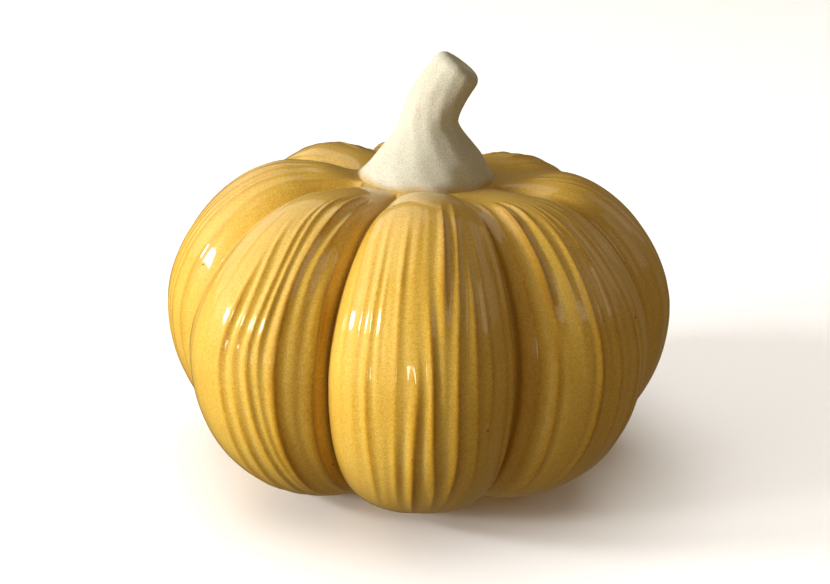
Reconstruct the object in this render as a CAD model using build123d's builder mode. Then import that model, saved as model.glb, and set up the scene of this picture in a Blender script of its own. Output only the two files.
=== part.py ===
from build123d import *
from math import cos, pi, radians, sin
import os

# Ceramic pumpkin figure: a slip-cast hollow body with eight lobes, and a bent stem fixed on top.
# Millimetres, +Z up. The origin is on the resting surface, on the axis of the body.
# The front of the figure faces -Y, and the stem leans towards +X.

# Lobes, in order from the front towards +X. For each: how far it swells out and how high its top
# is, as shares of the driving dimensions below, then the groove before it: how high its top is,
# as a share too, and how far it is turned out of its even place, in degrees.
LOBES = (
    (1.02, 1.035, 1.00, -0.5),  # front
    (0.99, 1.00, 1.03, -0.5),
    (0.99, 1.00, 1.00, 0.5),  # right
    (0.99, 0.985, 1.00, 0.0),
    (1.02, 1.01, 0.99, 0.0),  # back
    (0.96, 1.01, 1.02, 0.0),
    (0.99, 1.03, 0.985, 0.0),  # left
    (1.057, 1.01, 0.95, 2.0),
)
PITCH = 2 * pi / len(LOBES)
TURN = radians(1.7)  # the ring of lobes stands a little off the Y axis

# Body, outside
CREST_RADIUS = 100.0  # widest point of a lobe
VALLEY_RADIUS = 83.5  # bottom of the groove between two lobes, at the same height
EQUATOR = 62.0  # height of the widest point
CREST_CROWN = 115.0  # height of a lobe's top
VALLEY_CROWN = 108.5  # height of a groove's top
CREST_CROWN_RADIUS = 51.5  # where a lobe is highest, between the stem and its shoulder
VALLEY_CROWN_RADIUS = 44.0
CREST_FOOT_RADIUS = 51.5  # edge of the flat foot under a lobe
VALLEY_FOOT_RADIUS = 36.5
CROWN_START = 0.4  # lengths of the curve handles, as shares of the span each curve covers
CROWN_END = 0.6
SHOULDER = 0.465
FLANK = 0.59
FOOT_SWEEP = 0.50
FOOT_LIFT = 2.6  # softness of the turn from the flank to the foot
FULLNESS = 0.665  # exponent of a lobe's bulge across its width: 0.5 is an ellipse

# Body, inside
WALL = 5.5
CAVITY_FULLNESS = 1.0  # the cavity's bulges are softer than the outside
SEAT_RADIUS = 26.5  # flat top that the stem stands on
SEAT_HEIGHT = 113.5
NECK_RADIUS = 9.0  # pouring hole under the stem
VENT_RADIUS = 5.0  # hole in the floor that lets the gases out in the kiln
RECESS_RADIUS = 22.0  # the middle of the floor stands clear of the table
RECESS_DEPTH = 2.0
SLICES = (-1.0, -0.9, -0.65, -0.35, 0.0, 0.35, 0.65, 0.9, 1.0)  # sections across one lobe

# Stem, a hollow casting on a bed of slip
SLIP_THICKNESS = 0.8
SLIP_RADIUS = 24.0
STEM_WALL = 4.5
STEM_END_FILLET = 3.0
STEM_CORE_SECTIONS = 4  # the stem's hollow runs through this many sections from below
STEM_SECTIONS = (  # offset towards +X, height over the slip, radius, lean in degrees
    (0.0, 0.0, 26.3, 0.0),
    (1.0, 4.3, 23.3, 0.0),
    (1.5, 10.5, 18.2, 0.0),
    (1.4, 18.0, 12.5, 2.0),
    (2.4, 26.0, 10.7, 14.0),
    (6.0, 34.5, 10.2, 28.0),
    (11.9, 42.4, 9.4, 36.0),
)


def between(low, high, share):
    return low + (high - low) * share


def bulge(across, fullness):
    """Share of a lobe's swell at a place across it: 0 in the grooves at -1 and 1, 1 on the crest."""
    return max(0.0, 1 - across * across) ** fullness


def meridian_plane(angle):
    """Upright plane through the axis. Its x axis points out at the angle, from -Y towards +X."""
    outward = (sin(angle), -cos(angle), 0)
    return Plane(origin=(0, 0, 0), x_dir=outward, z_dir=(-cos(angle), -sin(angle), 0))


def groove_angle(index):
    """Angle of the groove before a lobe."""
    _, _, _, shift = LOBES[index % len(LOBES)]
    return TURN + PITCH * (index - 0.5) + radians(shift)


def lobe_wall(index):
    """The wall of one lobe, from groove to groove and from the neck hole to the vent."""
    swell, rise, groove_rise, _ = LOBES[index]
    _, _, next_groove_rise, _ = LOBES[(index + 1) % len(LOBES)]
    with BuildPart() as lobe:
        for across in SLICES:
            way = (across + 1) / 2
            angle = between(groove_angle(index), groove_angle(index + 1), way)
            valley_crown = VALLEY_CROWN * between(groove_rise, next_groove_rise, way)

            out = bulge(across, FULLNESS)
            radius = between(VALLEY_RADIUS, CREST_RADIUS * swell, out)
            crown = between(valley_crown, CREST_CROWN * rise, out)
            crown_radius = between(VALLEY_CROWN_RADIUS, CREST_CROWN_RADIUS, out)
            foot_radius = between(VALLEY_FOOT_RADIUS, CREST_FOOT_RADIUS, out)

            soft = bulge(across, CAVITY_FULLNESS)
            cavity_radius = between(VALLEY_RADIUS, CREST_RADIUS * swell, soft) - WALL
            cavity_crown = between(valley_crown, CREST_CROWN * rise, soft) - WALL
            ceiling_radius = between(SEAT_RADIUS - WALL, SEAT_RADIUS, soft)
            ceiling = SEAT_HEIGHT - WALL
            floor = RECESS_DEPTH + WALL

            with BuildSketch(meridian_plane(angle)):
                with BuildLine():
                    Line((NECK_RADIUS, SEAT_HEIGHT), (SEAT_RADIUS, SEAT_HEIGHT))
                    Bezier(
                        (SEAT_RADIUS, SEAT_HEIGHT),
                        (between(SEAT_RADIUS, crown_radius, CROWN_START), crown),
                        (between(SEAT_RADIUS, crown_radius, CROWN_END), crown),
                        (crown_radius, crown),
                    )
                    Bezier(
                        (crown_radius, crown),
                        (between(crown_radius, radius, SHOULDER), crown),
                        (radius, between(EQUATOR, crown, SHOULDER)),
                        (radius, EQUATOR),
                    )
                    Bezier(
                        (radius, EQUATOR),
                        (radius, EQUATOR * (1 - FLANK)),
                        (between(foot_radius, radius, FOOT_SWEEP), FOOT_LIFT),
                        (foot_radius, 0),
                    )
                    Polyline(
                        (foot_radius, 0),
                        (RECESS_RADIUS, 0),
                        (RECESS_RADIUS - RECESS_DEPTH, RECESS_DEPTH),
                        (VENT_RADIUS, RECESS_DEPTH),
                        (VENT_RADIUS, floor),
                        (foot_radius, floor),
                    )
                    Bezier(
                        (foot_radius, floor),
                        (between(foot_radius, cavity_radius, FOOT_SWEEP), floor + FOOT_LIFT),
                        (cavity_radius, between(EQUATOR, floor, FLANK)),
                        (cavity_radius, EQUATOR),
                    )
                    Bezier(
                        (cavity_radius, EQUATOR),
                        (cavity_radius, between(EQUATOR, cavity_crown, SHOULDER)),
                        (between(crown_radius, cavity_radius, SHOULDER), cavity_crown),
                        (crown_radius, cavity_crown),
                    )
                    Bezier(
                        (crown_radius, cavity_crown),
                        (between(ceiling_radius, crown_radius, CROWN_END), cavity_crown),
                        (between(ceiling_radius, crown_radius, CROWN_START), cavity_crown),
                        (ceiling_radius, ceiling),
                    )
                    Polyline(
                        (ceiling_radius, ceiling),
                        (NECK_RADIUS, ceiling),
                        (NECK_RADIUS, SEAT_HEIGHT),
                    )
                make_face()
        loft()
    return lobe.part


def stem_plane(section):
    """Plane of one cut across the stem, square to the stem's bent axis."""
    offset, height, _, lean = section
    centre = (offset, 0, SEAT_HEIGHT + SLIP_THICKNESS + height)
    tilt = radians(lean)
    return Plane(origin=centre, x_dir=(cos(tilt), 0, -sin(tilt)), z_dir=(sin(tilt), 0, cos(tilt)))


lobe_walls = [lobe_wall(index) for index in range(len(LOBES))]
with BuildPart() as body_shell:
    add(lobe_walls)

with BuildPart() as slip_joint:
    with BuildSketch(Plane.XY.offset(SEAT_HEIGHT)):
        Circle(SLIP_RADIUS)
        Circle(NECK_RADIUS + SLIP_THICKNESS, mode=Mode.SUBTRACT)
    extrude(amount=SLIP_THICKNESS)

with BuildPart() as stem:
    for section in STEM_SECTIONS:
        with BuildSketch(stem_plane(section)):
            Circle(radius=section[2])
    loft()
    fillet(stem.edges().sort_by(Axis.Z)[-1], STEM_END_FILLET)
    for section in STEM_SECTIONS[:STEM_CORE_SECTIONS]:
        with BuildSketch(stem_plane(section)):
            Circle(radius=section[2] - STEM_WALL)
    loft(mode=Mode.SUBTRACT)

os.makedirs("parts", exist_ok=True)

body_shell.part.label = "body_shell"
export_step(body_shell.part, "parts/body_shell.step")

slip_joint.part.label = "slip_joint"
export_step(slip_joint.part, "parts/slip_joint.step")

stem.part.label = "stem"
export_step(stem.part, "parts/stem.step")
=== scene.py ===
"""Looks of the ceramic pumpkin figure: a ribbed, glazed body and a bent bisque stem.

The dimensions are those of the CAD model in its own millimetres. UNIT turns them into metres and
is measured on the frame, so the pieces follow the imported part.
"""

from math import cos, pi, radians, sin

import bmesh
import bpy
import numpy as np
from mathutils import Matrix, Vector


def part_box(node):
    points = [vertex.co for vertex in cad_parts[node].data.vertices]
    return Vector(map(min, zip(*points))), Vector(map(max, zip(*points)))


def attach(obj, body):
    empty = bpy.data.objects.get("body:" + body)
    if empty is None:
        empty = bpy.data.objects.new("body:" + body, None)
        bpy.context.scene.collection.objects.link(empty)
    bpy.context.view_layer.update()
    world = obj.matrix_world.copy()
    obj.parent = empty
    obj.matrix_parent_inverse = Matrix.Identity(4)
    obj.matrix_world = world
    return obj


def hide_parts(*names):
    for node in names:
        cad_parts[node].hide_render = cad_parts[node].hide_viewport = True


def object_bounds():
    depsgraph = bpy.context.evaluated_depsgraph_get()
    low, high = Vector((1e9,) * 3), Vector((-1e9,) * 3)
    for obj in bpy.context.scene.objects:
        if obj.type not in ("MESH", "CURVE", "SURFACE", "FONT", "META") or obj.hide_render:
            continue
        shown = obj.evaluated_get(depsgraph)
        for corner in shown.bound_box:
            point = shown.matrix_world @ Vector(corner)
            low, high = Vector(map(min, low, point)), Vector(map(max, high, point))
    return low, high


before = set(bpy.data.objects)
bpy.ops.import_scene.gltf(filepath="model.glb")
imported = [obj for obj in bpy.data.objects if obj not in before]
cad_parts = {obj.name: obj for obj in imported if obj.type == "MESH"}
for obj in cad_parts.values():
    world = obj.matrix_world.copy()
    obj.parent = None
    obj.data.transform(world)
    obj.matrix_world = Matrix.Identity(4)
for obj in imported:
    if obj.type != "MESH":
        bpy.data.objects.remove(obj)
cad_low, cad_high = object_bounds()
shell_low, shell_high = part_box("body_shell")

# Body: the driving dimensions of the CAD model
CREST_RADIUS = 100.0
VALLEY_RADIUS = 83.5
EQUATOR = 62.0
CREST_CROWN = 115.0
VALLEY_CROWN = 108.5
CREST_CROWN_RADIUS = 51.5
VALLEY_CROWN_RADIUS = 44.0
CREST_FOOT_RADIUS = 51.5
VALLEY_FOOT_RADIUS = 36.5
CROWN_START = 0.4
CROWN_END = 0.6
SHOULDER = 0.465
FLANK = 0.59
FOOT_SWEEP = 0.50
FOOT_LIFT = 2.6
FULLNESS = 0.665
WALL = 5.5
SEAT_RADIUS = 26.5
SEAT_HEIGHT = 113.5
NECK_RADIUS = 9.0
VENT_RADIUS = 5.0
RECESS_RADIUS = 22.0
RECESS_DEPTH = 2.0
TURN = radians(1.7)  # the ring of lobes stands a little off the Y axis
FOOT_EDGE = 0.98  # where the flat foot starts, as a share of the radius the flank ends at
COLUMNS = 140  # of faces across one lobe
EVEN_SHARE = 0.8  # 1 spaces the columns evenly, less draws them closer near the grooves
CROWN_ROWS = 22  # of faces along each of the three outside curves
SHOULDER_ROWS = 60
FLANK_ROWS = 56
CAVITY_ROWS = 6  # of faces along each of the two curves inside
CEILING_ROWS = 4

# Folds of the ribbed surface: place across the lobe (-1 to 1) near the stem, at the widest point
# and near the foot, depth in millimetres, half width as a share of half the lobe, and where along
# the lobe (0 at the stem, 1 at the foot) the fold starts and ends.
FRONT_FOLDS = (
    (-0.78, -0.76, -0.72, 0.25, 0.026, 0.36, 0.85),
    (-0.60, -0.63, -0.60, 0.30, 0.026, 0.34, 0.80),
    (-0.46, -0.51, -0.45, 0.45, 0.030, 0.35, 0.88),
    (-0.36, -0.42, -0.34, 0.25, 0.022, 0.40, 0.70),
    (-0.22, -0.25, -0.24, 0.55, 0.030, 0.36, 0.86),
    (-0.10, -0.12, -0.12, 0.22, 0.034, 0.34, 0.54),
    (-0.06, -0.08, -0.07, 0.95, 0.039, 0.56, 0.92),
    (0.00, 0.03, 0.14, 0.95, 0.037, 0.46, 0.88),
    (0.24, 0.17, 0.20, 1.05, 0.046, 0.33, 0.60),
    (0.46, 0.30, 0.26, 0.75, 0.040, 0.32, 0.88),
    (0.46, 0.46, 0.48, 0.50, 0.030, 0.38, 0.84),
    (0.56, 0.58, 0.57, 0.40, 0.026, 0.36, 0.80),
    (0.74, 0.75, 0.77, 0.60, 0.030, 0.36, 0.86),
    (0.88, 0.88, 0.88, 0.35, 0.026, 0.33, 0.80),
)
FRONT_LEFT_FOLDS = (
    (-0.62, -0.64, -0.60, 0.16, 0.030, 0.30, 0.80),
    (-0.42, -0.40, -0.38, 0.16, 0.030, 0.25, 0.78),
    (-0.22, -0.14, -0.10, 0.20, 0.026, 0.35, 0.70),
    (-0.10, 0.13, 0.14, 0.85, 0.030, 0.44, 0.92),
    (-0.09, 0.26, 0.32, 0.70, 0.030, 0.38, 0.94),
    (0.21, 0.385, 0.50, 0.65, 0.030, 0.32, 0.94),
    (0.30, 0.475, 0.60, 0.60, 0.028, 0.28, 0.94),
    (0.50, 0.61, 0.68, 0.90, 0.042, 0.14, 0.94),
    (0.70, 0.74, 0.76, 0.35, 0.034, 0.17, 0.60),
    (0.90, 0.88, 0.90, 1.10, 0.036, 0.44, 0.94),
)
FRONT_RIGHT_FOLDS = (
    (-0.80, -0.86, -0.86, 0.40, 0.034, 0.15, 0.90),
    (-0.56, -0.66, -0.70, 1.20, 0.052, 0.24, 0.62),
    (-0.66, -0.71, -0.71, 0.70, 0.030, 0.54, 0.90),
    (-0.36, -0.40, -0.36, 0.40, 0.034, 0.24, 0.60),
    (-0.15, -0.25, -0.33, 0.60, 0.030, 0.34, 0.88),
    (-0.10, -0.18, -0.18, 0.40, 0.024, 0.30, 0.72),
    (-0.02, -0.06, -0.06, 0.60, 0.030, 0.32, 0.86),
    (0.08, 0.06, 0.05, 0.30, 0.026, 0.38, 0.78),
    (0.20, 0.22, 0.16, 0.55, 0.030, 0.34, 0.86),
    (0.34, 0.36, 0.34, 0.40, 0.026, 0.30, 0.84),
    (0.52, 0.54, 0.52, 0.35, 0.026, 0.30, 0.84),
    (0.72, 0.72, 0.72, 0.35, 0.026, 0.30, 0.84),
)
LEFT_FOLDS = (
    (-0.40, -0.42, -0.42, 0.30, 0.034, 0.15, 0.80),
    (-0.12, -0.14, -0.14, 0.25, 0.034, 0.15, 0.80),
    (0.10, 0.08, 0.08, 0.45, 0.039, 0.20, 0.80),
    (0.20, 0.17, 0.17, 0.40, 0.028, 0.24, 0.80),
    (0.28, 0.26, 0.26, 0.50, 0.032, 0.20, 0.80),
    (0.37, 0.35, 0.35, 0.40, 0.028, 0.24, 0.80),
    (0.46, 0.44, 0.44, 0.45, 0.034, 0.20, 0.80),
    (0.64, 0.64, 0.64, 0.30, 0.034, 0.15, 0.80),
)
# Lobes from the front towards +X: swell, rise, rise and turn of the groove before, all as in the
# CAD model, and the folds. A number in place of the folds says how deep scattered ones are.
LOBES = (
    (1.02, 1.035, 1.00, -0.5, FRONT_FOLDS),
    (0.99, 1.00, 1.03, -0.5, FRONT_RIGHT_FOLDS),
    (0.99, 1.00, 1.00, 0.5, 0.30),  # right
    (0.99, 0.985, 1.00, 0.0, 0.45),
    (1.02, 1.01, 0.99, 0.0, 0.50),  # back
    (0.96, 1.01, 1.02, 0.0, 0.45),
    (0.99, 1.03, 0.985, 0.0, LEFT_FOLDS),
    (1.057, 1.01, 0.95, 2.0, FRONT_LEFT_FOLDS),
)
HIGHEST_RISE = max(rise for _, rise, _, _, _ in LOBES)
UNIT = (shell_high.z - shell_low.z) / (CREST_CROWN * HIGHEST_RISE)

# How the folds run. Places are along the lobe, from 0 at the stem to 1 at the foot.
FOLD_TOP = 0.25  # up to here a fold keeps its first place across the lobe
FOLD_MIDDLE = 0.58  # here it has its second
FOLD_BOTTOM = 0.85  # and from here on its third
FOLD_FADE = 0.14  # length over which a fold deepens at its start and fades at its end
FOLD_SWING = 0.5  # how unevenly deep it is between them
SHARPNESS = 1.15  # exponent of a fold's profile: 2 is round, 1 is a sharp crease
LIP_SHARE = 0.28  # height of the raised lips beside a fold, as a share of its depth
LIP_PLACE = 2.0  # distance of a lip from its fold, in the fold's half widths
WANDER = 0.032  # how far the folds stray sideways, as a share of half the lobe
COARSE_DEPTH = 0.08  # broad unevenness of the surface between the folds
STREAK_DEPTH = 0.07  # and its fine streaks
STREAK_START = (0.25, 0.55)
STREAK_END = (0.99, 0.9)
# Cells of random heights across and along a lobe
WANDER_CELLS = (6, 8)
SWING_CELLS = (1, 9)
COARSE_CELLS = (17, 3)
STREAK_CELLS = (38, 7)

# Listed unevenness of the whole body: height in millimetres, waves round the body, waves along
# it in radians, phase
BODY_WAVES = ((0.30, 5, 9, 0.0), (0.20, 11, -7, 1.0))
BODY_WAVES_START = (0.1, 0.4)
BODY_WAVES_END = (1.0, 0.9)
GROOVE_START = 0.92  # across place where the groove between two lobes starts, free of folds
SEAT_RIM = (0.26, 0.02)  # places along the lobe where the pool beside the stem starts and is full
FOLD_TONE = (0.57, 0.75)  # tone of the glaze on level ground, and its change per millimetre

# Stem: offset towards +X, height over the seat, radius, lean in degrees
STEM_SECTIONS = (
    (0.8, 0.0, 26.5, 0.0),
    (0.9, 1.2, 25.5, 0.0),
    (1.0, 3.2, 24.1, 0.0),
    (1.2, 5.8, 22.2, 0.0),
    (1.5, 9.4, 19.8, 0.0),
    (1.5, 14.2, 15.9, 0.0),
    (1.3, 19.0, 12.5, 1.0),
    (1.5, 22.8, 11.0, 6.0),
    (2.6, 27.0, 10.5, 15.0),
    (4.5, 31.6, 10.3, 23.0),
    (7.3, 36.4, 9.9, 30.0),
    (10.6, 40.9, 9.5, 35.0),
)
# Hollow underside of the stem: radius and height over the seat, from its top down to the rim
STEM_CORE = (
    (0.4, 20.0),
    (5.0, 19.0),
    (9.0, 13.0),
    (17.0, 3.0),
    (19.0, 0.8),
    (24.3, 0.8),
    (24.3, 0.0),
)
STEM_COLUMNS = 160
STEM_ROWS = 120
END_ROWS = 11  # of points on the end's rounded rim, and again on its face
END_ROUNDING = 3.8
END_HOLLOW = 0.7  # how far the blunt end sinks in its middle
END_WAVE = 0.25  # height of the wave round the end's face
END_PINHOLE = 0.02  # radius left open in its middle, as a share, until close_rings fills it

# Listed unevenness of the stem's side, as shares of its radius: a soft ridge down the front, a
# hollow beside it, and waves (height, waves round the stem, waves up it in radians). The foot is
# drawn in at the front, where the glaze laps over it.
RIDGE_HEIGHT = 0.030
RIDGE_TURN = 1.45 * pi
RIDGE_TWIST = 0.5
HOLLOW_DEPTH = 0.022
HOLLOW_TURN = 1.75 * pi
HOLLOW_START = (0.2, 0.6)
HAND_WIDTH = 0.5  # of the ridge and the hollow, in radians
STEM_WAVES = ((0.012, 3, 5), (0.008, 7, -11), (0.006, 13, 17))
FOOT_DRAW = 0.08
FOOT_DRAW_SPREAD = 1.5  # exponent: more keeps the draw nearer to the front
FOOT_DRAW_TOP = 0.34

# Glaze: tone to colour, from the folds, where it is thick and dark, to the ridges, where it is thin
GLAZE_TONES = (
    (0.0, (0.54, 0.28, 0.016)),
    (0.35, (0.78, 0.465, 0.055)),
    (0.7, (0.88, 0.585, 0.108)),
    (1.0, (0.94, 0.69, 0.230)),
)
CLOUD_SWING = 0.44  # how far the broad and the fine mottling shift the tone
MOTTLE_SWING = 0.60
GLAZE_POOLED = (0.56, 0.33, 0.050)
POOLED_SHARE = 0.4
PEPPER_TONES = ((0.36, (0.76, 0.73, 0.60)), (0.60, (1.0, 1.0, 1.0)))
SPECK_COLOUR = (0.10, 0.05, 0.01)
SPECK_SIZE = 0.030  # radius, as a share of a cell
SPECK_RARITY = 0.68  # share of the specks that are left out
GLAZE_ROUGHNESS = (0.40, 0.52)

# Clay: colours where its sandy grain is light and dark, and the grain's relief in metres
STEM_CLAY = ((0.77, 0.755, 0.615), (0.57, 0.54, 0.42), 0.0004)
FOOT_CLAY = ((0.74, 0.66, 0.50), (0.58, 0.49, 0.34), 0.0003)
SLIP_CLAY = ((0.72, 0.62, 0.46), (0.58, 0.46, 0.30), 0.0002)
CLAY_ROUGHNESS = (0.78, 0.95)
SAND_SHARE = 0.8  # how much the grain and the stains count in the tone
STAIN_SHARE = 0.25
CLAY_DARK = 0.40  # tones that get the two colours
CLAY_LIGHT = 0.57
BLUSH = (0.60, 0.41, 0.13)  # thin glaze on the rim of the stem's foot
BLUSH_STRENGTH = 0.9
BLUSH_EDGE = (0.050, 0.105)  # where it starts to fade and ends, as a share of the stem's height
BLUSH_RAGGED = 0.10  # how far the edge strays, as a share too

# Noise scales, in cells per metre
CLOUD_SCALE = 45
MOTTLE_SCALE = 700
SAND_SCALE = 1900
SPECK_SCALE = 75
STAIN_SCALE = 60
GRIT_SCALE = 2600
BLUSH_SCALE = 90

# Lights: azimuth and elevation of their direction in degrees, distance, width and height in
# metres, power in watts, colour, and whether the gloss shows them. The doorway is narrow, and the
# gloss shows it as a row of upright slivers, one on each rib.
LIGHTS = {
    "key": (-79, 21, 4.0, 0.85, 0.5, 66, (1.0, 0.98, 0.97), True),
    "soft_key": (-65, 14, 4.0, 0.5, 0.5, 84, (1.0, 0.98, 0.97), False),
    "sky": (-125, 45, 3.0, 4, 4, 36, (0.95, 0.97, 1.0), True),
    "wall": (115, 28, 3.0, 3, 1.6, 4.2, (1.0, 0.95, 0.86), True),
    "window": (58, 38, 2.0, 0.6, 1.0, 1.9, (1.0, 0.94, 0.84), True),
    "fill": (-54, 4, 1.6, 0.7, 0.9, 12.5, (1.0, 0.97, 0.92), False),
    "doorway": (-22, 5, 1.6, 0.10, 0.26, 1.1, (1.0, 0.95, 0.84), True),
}
# Sunlit floor beside the figure, which lights the lower parts of the lobes
BOUNCE_PLACE = (-0.73, -0.50, cad_low.z + 0.004)
BOUNCE_SIZE = (1.1, 1.0)
BOUNCE_POWER = 4.6
BOUNCE_COLOUR = (1.0, 0.90, 0.72)
FLOOR_RADIUS = 8
FLOOR_GAP = 0.0003  # between the floor and the foot
FLOOR_COLOUR = (0.86, 0.85, 0.83, 1)
FLOOR_LIGHT = 1.9
FLOOR_LIGHT_ANGLE = radians(60)
ROOM_GLOW = (0.165, 0.115, 0.056)  # light of the room on the object
BACKDROP = (0.92, 0.92, 0.92)  # what the camera sees behind the floor

# Camera: its elevation and its distance from a point on the body's axis, where it looks, its roll
# in radians, and its lens. The distance and the places are in the object's millimetres.
CAMERA_RISE = radians(20.95)
CAMERA_DISTANCE = 521.7
CAMERA_PIVOT = 60.0  # height of that point
CAMERA_AIM = (-2.4, 0.0, 65.9)
CAMERA_ROLL = 0.0278
CAMERA_LENS = 56.7
SENSOR_WIDTH = 36.0

SEED = 31
rng = np.random.default_rng(SEED)


# ---------------------------------------------------------------- geometry helpers


def between(low, high, share):
    return low + (high - low) * share


def bezier(points, count, closed=False):
    """Points of a cubic Bezier curve whose four control points are (radius, height) arrays."""
    t = np.linspace(0, 1, count, endpoint=closed)[:, None, None]
    a, b, c, d = (np.stack(np.broadcast_arrays(*p))[None] for p in points)
    return (1 - t) ** 3 * a + 3 * (1 - t) ** 2 * t * b + 3 * (1 - t) * t * t * c + t**3 * d


def straight(start, end, count):
    """Points of a straight run between two (radius, height) arrays, without its end."""
    t = np.linspace(0, 1, count, endpoint=False)[:, None, None]
    a, b = (np.stack(np.broadcast_arrays(*p))[None] for p in (start, end))
    return a + (b - a) * t


def grid_object(name, points, closed_rows):
    """Mesh from a (rows, columns, 3) grid of points that is closed round its columns."""
    rows, columns, _ = points.shape
    index = np.arange(rows * columns).reshape(rows, columns)
    last = rows if closed_rows else rows - 1
    faces = []
    for row in range(last):
        here, after = index[row], index[(row + 1) % rows]
        faces.append(np.stack([here, np.roll(here, -1), np.roll(after, -1), after], axis=1))
    mesh = bpy.data.meshes.new(name)
    mesh.from_pydata(points.reshape(-1, 3).tolist(), [], np.concatenate(faces).tolist())
    mesh.validate()
    mesh.shade_smooth()
    piece = bpy.data.objects.new(name, mesh)
    bpy.context.collection.objects.link(piece)
    return piece


def grid_normals(points):
    """Unit normals of a grid that is closed round its columns."""
    along = np.gradient(points, axis=0)
    around = (np.roll(points, -1, axis=1) - np.roll(points, 1, axis=1)) / 2
    normal = np.cross(around, along)
    length = np.linalg.norm(normal, axis=2, keepdims=True)
    return normal / np.maximum(length, 1e-9)


def smooth_step(low, high, value):
    share = np.clip((value - low) / (high - low), 0, 1)
    return share * share * (3 - 2 * share)


def add_attribute(piece, name, values):
    attribute = piece.data.attributes.new(name, "FLOAT", "POINT")
    attribute.data.foreach_set("value", np.asarray(values, dtype=np.float32).ravel())


# ---------------------------------------------------------------- body


def groove_angle(index):
    """Angle of the groove before a lobe."""
    turn = LOBES[index % len(LOBES)][3]
    return TURN + 2 * pi / len(LOBES) * (index - 0.5) + radians(turn)


def soft_noise(across, along, cells):
    """Smooth random heights from -1 to 1, blended between the points of a random grid."""
    cells_across, cells_along = cells
    values = rng.uniform(-1, 1, (cells_along + 2, cells_across + 2))
    column = np.clip((across + 1) / 2 * cells_across, 0, cells_across)
    row = np.clip(along * cells_along, 0, cells_along)
    left, above = np.floor(column).astype(int), np.floor(row).astype(int)
    right_share = smooth_step(0, 1, column - left)
    below_share = smooth_step(0, 1, row - above)
    upper = between(values[above, left], values[above, left + 1], right_share)
    lower = between(values[above + 1, left], values[above + 1, left + 1], right_share)
    return between(upper, lower, below_share)


def scattered_folds(depth):
    """Folds for a lobe that has no list of its own."""
    folds = []
    across = -0.88
    while across < 0.9:
        strength = depth * rng.uniform(0.4, 1.4)
        top, bottom = across + rng.uniform(-0.06, 0.06, 2)
        start, end = rng.uniform(0.1, 0.45), rng.uniform(0.72, 0.95)
        folds.append((top, across, bottom, strength, rng.uniform(0.028, 0.05), start, end))
        across += rng.uniform(0.09, 0.22)
    return folds


def fold_height(across, along, folds):
    """Height of the ribbed surface in millimetres, at places across and along the lobe."""
    shape = np.broadcast_shapes(across.shape, along.shape)
    across, along = np.broadcast_to(across, shape), np.broadcast_to(along, shape)
    stray = across + WANDER * soft_noise(across, along, WANDER_CELLS)
    height = np.zeros(shape)
    for top, middle, bottom, depth, width, start, end in folds:
        path = middle + (top - middle) * smooth_step(FOLD_MIDDLE, FOLD_TOP, along)
        path = path + (bottom - middle) * smooth_step(FOLD_MIDDLE, FOLD_BOTTOM, along)
        strength = depth * smooth_step(start, start + FOLD_FADE, along)
        strength = strength * smooth_step(end, end - FOLD_FADE, along)
        strength = strength * (1 + FOLD_SWING * soft_noise(across, along, SWING_CELLS))
        gap = np.abs(stray - path) / width
        lips = np.exp(-((gap - LIP_PLACE) ** 2))
        height = height + strength * (LIP_SHARE * lips - np.exp(-(gap**SHARPNESS)))
    fade = smooth_step(*STREAK_START, along) * smooth_step(*STREAK_END, along)
    coarse = COARSE_DEPTH * soft_noise(stray, along, COARSE_CELLS)
    fine = STREAK_DEPTH * soft_noise(stray, along, STREAK_CELLS)
    return height + fade * (coarse + fine)


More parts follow.
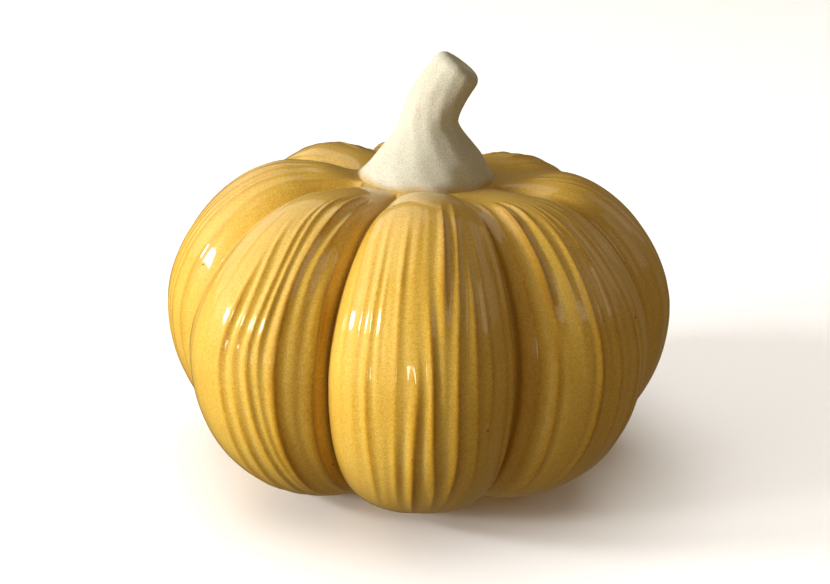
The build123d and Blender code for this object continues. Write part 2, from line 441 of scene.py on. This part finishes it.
def lobe_grid(index):
    """Points of one lobe, from groove to groove, its fold heights, its across and along places,
    and which of its rows are outside."""
    swell, rise, groove_rise, _, folds = LOBES[index]
    next_groove_rise = LOBES[(index + 1) % len(LOBES)][2]
    if not isinstance(folds, tuple):
        folds = scattered_folds(folds)
    even = np.linspace(-1, 1, COLUMNS, endpoint=False)
    across = EVEN_SHARE * even + (1 - EVEN_SHARE) * np.sin(pi / 2 * even)
    way = (across + 1) / 2
    flat = np.zeros(COLUMNS)
    valley_crown = VALLEY_CROWN * between(groove_rise, next_groove_rise, way)

    out = np.clip(1 - across**2, 0, 1) ** FULLNESS
    radius = between(VALLEY_RADIUS, CREST_RADIUS * swell, out)
    crown = between(valley_crown, CREST_CROWN * rise, out)
    crown_radius = between(VALLEY_CROWN_RADIUS, CREST_CROWN_RADIUS, out)
    foot_radius = between(VALLEY_FOOT_RADIUS, CREST_FOOT_RADIUS, out)

    soft = 1 - across**2
    cavity_radius = between(VALLEY_RADIUS, CREST_RADIUS * swell, soft) - WALL
    cavity_crown = between(valley_crown, CREST_CROWN * rise, soft) - WALL
    ceiling_radius = between(SEAT_RADIUS - WALL, SEAT_RADIUS, soft)
    seat = flat + SEAT_HEIGHT
    ceiling = flat + SEAT_HEIGHT - WALL
    floor = flat + RECESS_DEPTH + WALL
    recess = flat + RECESS_DEPTH

    top = straight((NECK_RADIUS, seat), (SEAT_RADIUS, seat), 3)
    outside = [
        bezier(
            (
                (SEAT_RADIUS, seat),
                (between(SEAT_RADIUS, crown_radius, CROWN_START), crown),
                (between(SEAT_RADIUS, crown_radius, CROWN_END), crown),
                (crown_radius, crown),
            ),
            CROWN_ROWS,
        ),
        bezier(
            (
                (crown_radius, crown),
                (between(crown_radius, radius, SHOULDER), crown),
                (radius, between(EQUATOR, crown, SHOULDER)),
                (radius, EQUATOR),
            ),
            SHOULDER_ROWS,
        ),
        bezier(
            (
                (radius, EQUATOR),
                (radius, EQUATOR * (1 - FLANK)),
                (between(foot_radius, radius, FOOT_SWEEP), FOOT_LIFT),
                (foot_radius, flat),
            ),
            FLANK_ROWS,
            closed=True,
        ),
    ]
    along = np.concatenate(
        [
            np.linspace(0, 1, CROWN_ROWS, endpoint=False) / 3,
            (1 + np.linspace(0, 1, SHOULDER_ROWS, endpoint=False)) / 3,
            (2 + np.linspace(0, 1, FLANK_ROWS)) / 3,
        ]
    )
    under = [
        straight((foot_radius * FOOT_EDGE, flat), (RECESS_RADIUS, flat), 3),
        straight((RECESS_RADIUS, flat), (RECESS_RADIUS - RECESS_DEPTH, recess), 2),
        straight((RECESS_RADIUS - RECESS_DEPTH, recess), (VENT_RADIUS, recess), 3),
        straight((VENT_RADIUS, recess), (VENT_RADIUS, floor), 2),
    ]
    inside = [
        straight((VENT_RADIUS, floor), (foot_radius, floor), 2),
        bezier(
            (
                (foot_radius, floor),
                (between(foot_radius, cavity_radius, FOOT_SWEEP), floor + FOOT_LIFT),
                (cavity_radius, between(EQUATOR, floor, FLANK)),
                (cavity_radius, EQUATOR),
            ),
            CAVITY_ROWS,
        ),
        bezier(
            (
                (cavity_radius, EQUATOR),
                (cavity_radius, between(EQUATOR, cavity_crown, SHOULDER)),
                (between(crown_radius, cavity_radius, SHOULDER), cavity_crown),
                (crown_radius, cavity_crown),
            ),
            CAVITY_ROWS,
        ),
        bezier(
            (
                (crown_radius, cavity_crown),
                (between(ceiling_radius, crown_radius, CROWN_END), cavity_crown),
                (between(ceiling_radius, crown_radius, CROWN_START), cavity_crown),
                (ceiling_radius, ceiling),
            ),
            CEILING_ROWS,
        ),
        straight((ceiling_radius, ceiling), (NECK_RADIUS, ceiling), 1),
        straight((NECK_RADIUS, ceiling), (NECK_RADIUS, seat), 1),
    ]
    profile = np.concatenate([top] + outside + under + inside)  # rows, 2, columns
    angle = between(groove_angle(index), groove_angle(index + 1), way)
    points = np.stack(
        [profile[:, 0] * np.sin(angle), -profile[:, 0] * np.cos(angle), profile[:, 1]], axis=2
    )
    first = len(top)
    outside_rows = slice(first, first + len(along))
    height = np.zeros(points.shape[:2])
    height[outside_rows] = fold_height(across[None, :], along[:, None], folds)
    place = np.zeros(points.shape[:2])
    place[outside_rows] = along[:, None]
    return points, height, np.broadcast_to(across, height.shape), place, outside_rows


def make_body():
    grids = [lobe_grid(index) for index in range(len(LOBES))]
    points = np.concatenate([grid[0] for grid in grids], axis=1)
    height = np.concatenate([grid[1] for grid in grids], axis=1)
    across = np.concatenate([grid[2] for grid in grids], axis=1)
    along = np.concatenate([grid[3] for grid in grids], axis=1)
    outside = grids[0][4]

    angle = np.arctan2(points[..., 0], -points[..., 1])
    hand = np.zeros(angle.shape)
    for size, around, down, phase in BODY_WAVES:
        hand = hand + size * np.sin(around * angle + down * along + phase)
    hand = hand * smooth_step(*BODY_WAVES_START, along) * smooth_step(*BODY_WAVES_END, along)
    near_groove = smooth_step(GROOVE_START, 1.0, np.abs(across))
    relief = height * (1 - near_groove) + hand
    normals = grid_normals(points[outside])
    points[outside] += normals * relief[outside][..., None]
    points *= UNIT
    points[..., 2] += cad_low.z

    body = grid_object("glazed_body", points, closed_rows=True)
    level_tone, tone_change = FOLD_TONE
    add_attribute(body, "fold", np.clip(level_tone + tone_change * height, 0, 1))
    pooled = np.maximum(near_groove, smooth_step(*SEAT_RIM, along)) * (along > 0)
    add_attribute(body, "pooled", pooled)
    slot = np.ones(points.shape[:2], dtype=np.int32)  # 1 is the bare clay
    slot[: outside.stop - 2] = 0  # glazed down to the foot
    body.data.polygons.foreach_set("material_index", slot.ravel())
    return body


# ---------------------------------------------------------------- stem


def stem_axis(share):
    """Offset, height, radius and lean along the stem, as smooth functions of the way up."""
    sections = np.array(STEM_SECTIONS)
    knots = np.linspace(0, 1, len(sections))
    slopes = np.gradient(sections, knots, axis=0)
    place = np.clip(np.searchsorted(knots, share, side="right") - 1, 0, len(knots) - 2)
    step = knots[1] - knots[0]
    t = ((share - knots[place]) / step)[:, None]
    low, high = sections[place], sections[place + 1]
    low_slope, high_slope = slopes[place] * step, slopes[place + 1] * step
    return (
        (2 * t**3 - 3 * t**2 + 1) * low
        + (t**3 - 2 * t**2 + t) * low_slope
        + (-2 * t**3 + 3 * t**2) * high
        + (t**3 - t**2) * high_slope
    )


def make_stem():
    share = np.linspace(0, 1, STEM_ROWS)
    offset, height, radius, lean = stem_axis(share).T
    turn = np.linspace(0, 2 * pi, STEM_COLUMNS, endpoint=False)[None, :]
    up = share[:, None]

    from_ridge = (turn - RIDGE_TURN - RIDGE_TWIST * up) / HAND_WIDTH
    from_hollow = (turn - HOLLOW_TURN) / HAND_WIDTH
    uneven = RIDGE_HEIGHT * np.exp(-(from_ridge**2))
    uneven = uneven - HOLLOW_DEPTH * np.exp(-(from_hollow**2)) * smooth_step(*HOLLOW_START, up)
    for size, around, upward in STEM_WAVES:
        uneven = uneven + size * np.sin(around * turn + upward * up)
    front = np.maximum(0, -np.sin(turn)) ** FOOT_DRAW_SPREAD
    uneven = uneven - FOOT_DRAW * front * smooth_step(FOOT_DRAW_TOP, 0.0, up)
    rings = radius[:, None] * (1 + uneven)

    def place(ring, centre_x, centre_z, tilt, rise):
        out = ring * np.cos(turn)
        side = ring * np.sin(turn)
        x = centre_x + out * np.cos(tilt) + rise * np.sin(tilt)
        z = centre_z - out * np.sin(tilt) + rise * np.cos(tilt)
        return np.stack([x, np.broadcast_to(side, x.shape), z], axis=2)

    tilt = np.radians(lean)[:, None]
    side_wall = place(rings, offset[:, None], height[:, None], tilt, 0.0)
    # blunt end: a rounded rim, then a slightly sunken face
    quarter = np.linspace(0, pi / 2, END_ROWS)[1:, None]
    rim = rings[-1:] - END_ROUNDING * (1 - np.cos(quarter))
    rim_rise = END_ROUNDING * np.sin(quarter)
    inward = np.linspace(1, END_PINHOLE, END_ROWS)[1:, None]
    face = rim[-1:] * inward
    sunk = END_HOLLOW * (1 - inward**2)
    face_rise = END_ROUNDING - sunk + END_WAVE * np.sin(2 * turn + 1) * inward
    end_tilt = tilt[-1:]
    end = [
        place(rim, offset[-1], height[-1], end_tilt, rim_rise),
        place(face, offset[-1], height[-1], end_tilt, face_rise),
    ]
    upright = np.zeros((1, 1))
    core = [place(np.full((1, 1), ring), 0.0, rise, upright, 0.0) for ring, rise in STEM_CORE]
    points = np.concatenate(core + [side_wall] + end)
    points[..., 2] += SEAT_HEIGHT
    points *= UNIT
    points[..., 2] += cad_low.z
    stem = grid_object("bisque_stem", points, closed_rows=False)
    rows = len(points)
    way_up = (points[..., 2] - points[..., 2].min()) / np.ptp(points[..., 2])
    add_attribute(stem, "along", way_up)
    close_rings(stem, (0, rows - 1))
    return stem


def close_rings(piece, rows):
    """Closes the pinholes that are left in the middle of the end face and at the core's top."""
    mesh = bmesh.new()
    mesh.from_mesh(piece.data)
    mesh.verts.ensure_lookup_table()
    for row in rows:
        ring = mesh.verts[row * STEM_COLUMNS : (row + 1) * STEM_COLUMNS]
        mesh.faces.new(ring if row else ring[::-1])
    mesh.to_mesh(piece.data)
    mesh.free()
    piece.data.shade_smooth()


# ---------------------------------------------------------------- materials


def new_material(name):
    material = bpy.data.materials.new(name)
    material.use_nodes = True
    nodes = material.node_tree.nodes
    shader = nodes["Principled BSDF"]
    return material, nodes, material.node_tree.links, shader


def add_noise(nodes, links, coords, scale, detail=3.0, roughness=0.5):
    noise = nodes.new("ShaderNodeTexNoise")
    noise.inputs["Scale"].default_value = scale
    noise.inputs["Detail"].default_value = detail
    noise.inputs["Roughness"].default_value = roughness
    links.new(coords, noise.inputs["Vector"])
    return noise.outputs["Fac"]


def add_ramp(nodes, links, value, stops):
    ramp = nodes.new("ShaderNodeValToRGB")
    elements = ramp.color_ramp.elements
    elements[0].position, elements[0].color = stops[0][0], (*stops[0][1], 1)
    elements[1].position, elements[1].color = stops[-1][0], (*stops[-1][1], 1)
    for position, colour in stops[1:-1]:
        elements.new(position).color = (*colour, 1)
    links.new(value, ramp.inputs["Fac"])
    return ramp.outputs["Color"]


def add_mix(nodes, links, share, first, second, blend="MIX"):
    mix = nodes.new("ShaderNodeMix")
    mix.data_type = "RGBA"
    mix.blend_type = blend
    for socket, value in (("Factor", share), ("A", first), ("B", second)):
        inputs = [i for i in mix.inputs if i.name == socket and i.enabled]
        if isinstance(value, bpy.types.NodeSocket):
            links.new(value, inputs[0])
        elif socket == "Factor":
            inputs[0].default_value = value
        else:
            inputs[0].default_value = (*value, 1)
    return [o for o in mix.outputs if o.enabled][0]


def add_math(nodes, links, operation, first, second, clamp=False):
    math = nodes.new("ShaderNodeMath")
    math.operation = operation
    math.use_clamp = clamp
    for socket, value in zip(math.inputs, (first, second)):
        if isinstance(value, bpy.types.NodeSocket):
            links.new(value, socket)
        else:
            socket.default_value = value
    return math.outputs[0]


def add_swing(nodes, links, noise, size):
    """Turns a noise from 0 to 1 into one from minus half the size to plus half of it."""
    swing = add_math(nodes, links, "MULTIPLY_ADD", noise, size)
    swing.node.inputs[2].default_value = -size / 2
    return swing


def add_attribute_value(nodes, name):
    attribute = nodes.new("ShaderNodeAttribute")
    attribute.attribute_name = name
    return attribute.outputs["Fac"]


def add_bump(nodes, links, height, strength, distance, normal=None):
    bump = nodes.new("ShaderNodeBump")
    bump.inputs["Strength"].default_value = strength
    bump.inputs["Distance"].default_value = distance
    links.new(height, bump.inputs["Height"])
    if normal is not None:
        links.new(normal, bump.inputs["Normal"])
    return bump.outputs["Normal"]


def glaze_material():
    """Mustard glaze: paler where it runs thin on the ridges, more orange where it pools."""
    material, nodes, links, shader = new_material("mustard_glaze")
    coords = nodes.new("ShaderNodeTexCoord").outputs["Object"]
    fold = add_attribute_value(nodes, "fold")
    pooled = add_attribute_value(nodes, "pooled")
    cloud = add_noise(nodes, links, coords, CLOUD_SCALE, detail=4)
    mottle = add_noise(nodes, links, coords, MOTTLE_SCALE, detail=4, roughness=0.7)

    tone = add_swing(nodes, links, cloud, CLOUD_SWING)
    tone = add_math(nodes, links, "ADD", fold, tone)
    fine = add_swing(nodes, links, mottle, MOTTLE_SWING)
    tone = add_math(nodes, links, "ADD", tone, fine, clamp=True)
    colour = add_ramp(nodes, links, tone, GLAZE_TONES)
    pooled = add_math(nodes, links, "MULTIPLY", pooled, POOLED_SHARE)
    colour = add_mix(nodes, links, pooled, colour, GLAZE_POOLED)

    # peppery grain of the glaze
    pepper = add_noise(nodes, links, coords, SAND_SCALE, detail=2, roughness=0.7)
    grain = add_ramp(nodes, links, pepper, PEPPER_TONES)
    colour = add_mix(nodes, links, 1.0, colour, grain, "MULTIPLY")

    # pinholes and iron specks, sparse and small
    specks = nodes.new("ShaderNodeTexVoronoi")
    specks.inputs["Scale"].default_value = SPECK_SCALE
    links.new(coords, specks.inputs["Vector"])
    near = add_math(nodes, links, "LESS_THAN", specks.outputs["Distance"], SPECK_SIZE)
    chosen = nodes.new("ShaderNodeSeparateColor")
    links.new(specks.outputs["Color"], chosen.inputs["Color"])
    rare = add_math(nodes, links, "GREATER_THAN", chosen.outputs["Red"], SPECK_RARITY)
    speck = add_math(nodes, links, "MULTIPLY", near, rare)
    colour = add_mix(nodes, links, speck, colour, SPECK_COLOUR)
    links.new(colour, shader.inputs["Base Color"])

    smooth, rough = GLAZE_ROUGHNESS
    gloss = add_ramp(nodes, links, mottle, ((0.3, (smooth,) * 3), (0.7, (rough,) * 3)))
    links.new(gloss, shader.inputs["Roughness"])
    ripple = add_bump(nodes, links, cloud, strength=0.25, distance=0.0008)
    skin = add_bump(nodes, links, mottle, strength=0.06, distance=0.0001, normal=ripple)
    pits = add_bump(nodes, links, speck, strength=0.4, distance=-0.0003, normal=skin)
    links.new(pits, shader.inputs["Normal"])
    links.new(skin, shader.inputs["Coat Normal"])
    shader.inputs["IOR"].default_value = 1.45
    shader.inputs["Specular IOR Level"].default_value = 0.45
    shader.inputs["Coat Weight"].default_value = 1.0
    shader.inputs["Coat Roughness"].default_value = 0.06
    shader.inputs["Coat IOR"].default_value = 1.52
    return material


def clay_material(name, light, dark, grain):
    """Unglazed fired clay: matte, with a fine sandy grain and faint stains."""
    material, nodes, links, shader = new_material(name)
    coords = nodes.new("ShaderNodeTexCoord").outputs["Object"]
    stain = add_noise(nodes, links, coords, STAIN_SCALE, detail=5, roughness=0.6)
    sand = add_noise(nodes, links, coords, SAND_SCALE, detail=3, roughness=0.8)
    grit = add_noise(nodes, links, coords, GRIT_SCALE, detail=2)
    tone = add_math(nodes, links, "MULTIPLY_ADD", sand, SAND_SHARE)
    links.new(add_math(nodes, links, "MULTIPLY", stain, STAIN_SHARE), tone.node.inputs[2])
    colour = add_ramp(nodes, links, tone, ((CLAY_DARK, dark), (CLAY_LIGHT, light)))
    links.new(colour, shader.inputs["Base Color"])
    smooth, rough = CLAY_ROUGHNESS
    matte = add_ramp(nodes, links, sand, ((0.2, (smooth,) * 3), (0.8, (rough,) * 3)))
    links.new(matte, shader.inputs["Roughness"])
    relief = add_bump(nodes, links, sand, strength=0.8, distance=grain)
    relief = add_bump(nodes, links, grit, strength=0.35, distance=grain / 3, normal=relief)
    links.new(relief, shader.inputs["Normal"])
    shader.inputs["Specular IOR Level"].default_value = 0.25
    return material


def stem_material():
    """Bare clay with a blush of thin glaze along the rim of the foot."""
    material = clay_material("stem_bisque", *STEM_CLAY)
    nodes, links = material.node_tree.nodes, material.node_tree.links
    shader = nodes["Principled BSDF"]
    plain = shader.inputs["Base Color"].links[0].from_socket
    coords = nodes.new("ShaderNodeTexCoord").outputs["Object"]
    along = add_attribute_value(nodes, "along")
    patch = add_noise(nodes, links, coords, BLUSH_SCALE, detail=3)
    edge = add_math(nodes, links, "MULTIPLY_ADD", patch, BLUSH_RAGGED)
    links.new(along, edge.node.inputs[2])
    full, gone = BLUSH_EDGE
    blush = add_ramp(nodes, links, edge, ((full, (BLUSH_STRENGTH,) * 3), (gone, (0.0,) * 3)))
    colour = add_mix(nodes, links, blush, plain, BLUSH)
    links.new(colour, shader.inputs["Base Color"])
    return material


# ---------------------------------------------------------------- stage, lights and camera


def area_light(name, position, target, width, height, power, colour):
    light = bpy.data.lights.new(name, "AREA")
    light.shape = "RECTANGLE"
    light.size, light.size_y = width, height
    light.energy = power
    light.color = colour
    lamp = bpy.data.objects.new(name, light)
    lamp.location = position
    lamp.rotation_euler = (Vector(target) - Vector(position)).to_track_quat("-Z", "Y").to_euler()
    bpy.context.collection.objects.link(lamp)
    return lamp


def way(azimuth, elevation):
    """Direction at an azimuth in degrees, from the front towards +X, and an elevation."""
    side, up = radians(azimuth), radians(elevation)
    return Vector((sin(side) * cos(up), -cos(side) * cos(up), sin(up)))


def make_floor():
    """Pale floor that the object neither mirrors nor takes light from: the bounce light does that."""
    material, _, _, shader = new_material("pale_floor")
    shader.inputs["Roughness"].default_value = 0.9
    shader.inputs["Base Color"].default_value = FLOOR_COLOUR
    bpy.ops.mesh.primitive_circle_add(
        vertices=96, radius=FLOOR_RADIUS, fill_type="NGON", location=(0, 0, cad_low.z - FLOOR_GAP)
    )
    floor = bpy.context.object
    floor.name = "floor"
    floor.data.materials.append(material)
    floor.visible_diffuse = False
    floor.visible_glossy = False
    return floor


def make_world():
    world = bpy.data.worlds.new("studio")
    world.use_nodes = True
    nodes, links = world.node_tree.nodes, world.node_tree.links
    seen = nodes.new("ShaderNodeLightPath").outputs["Is Camera Ray"]
    glow = add_mix(nodes, links, seen, ROOM_GLOW, BACKDROP)
    links.new(glow, nodes["Background"].inputs["Color"])
    bpy.context.scene.world = world


def make_lights(floor):
    centre = Vector((0, 0, EQUATOR * UNIT))
    for name, row in LIGHTS.items():
        azimuth, elevation, distance, width, height, power, colour, in_gloss = row
        position = centre + way(azimuth, elevation) * distance
        lamp = area_light(name, position, centre, width, height, power, colour)
        lamp.visible_glossy = in_gloss

    lit_floor = Vector(BOUNCE_PLACE)
    above = lit_floor + Vector((0, 0, 1))
    bounce = area_light("bounce", lit_floor, above, *BOUNCE_SIZE, BOUNCE_POWER, BOUNCE_COLOUR)
    bounce.visible_camera = False
    bounce.visible_glossy = False

    # a light for the floor alone, so that it stays pale behind the figure
    sun = bpy.data.lights.new("floor_light", "SUN")
    sun.energy = FLOOR_LIGHT
    sun.angle = FLOOR_LIGHT_ANGLE
    floor_light = bpy.data.objects.new("floor_light", sun)
    bpy.context.collection.objects.link(floor_light)
    receivers = bpy.data.collections.new("floor_light_receivers")
    receivers.objects.link(floor)
    floor_light.light_linking.receiver_collection = receivers


def make_camera():
    camera = bpy.data.cameras.new("camera")
    camera.sensor_width = SENSOR_WIDTH
    camera.lens = CAMERA_LENS
    eye = bpy.data.objects.new("camera", camera)
    pivot = Vector((0, 0, CAMERA_PIVOT))
    back = Vector((0, -cos(CAMERA_RISE), sin(CAMERA_RISE)))
    position = (pivot + back * CAMERA_DISTANCE) * UNIT
    target = Vector(CAMERA_AIM) * UNIT
    look = (target - position).to_track_quat("-Z", "Y").to_matrix().to_4x4()
    eye.matrix_world = Matrix.Translation(position) @ look @ Matrix.Rotation(CAMERA_ROLL, 4, "Z")
    bpy.context.collection.objects.link(eye)
    bpy.context.scene.camera = eye


body = make_body()
body.data.materials.append(glaze_material())
body.data.materials.append(clay_material("foot_clay", *FOOT_CLAY))
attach(body, "root")
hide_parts("body_shell")

stem = make_stem()
stem.data.materials.append(stem_material())
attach(stem, "root")
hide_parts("stem")

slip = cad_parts["slip_joint"]
slip.material_slots[0].material = clay_material("fired_slip", *SLIP_CLAY)

make_world()
make_lights(make_floor())
make_camera()
bpy.context.scene.view_settings.view_transform = "Standard"
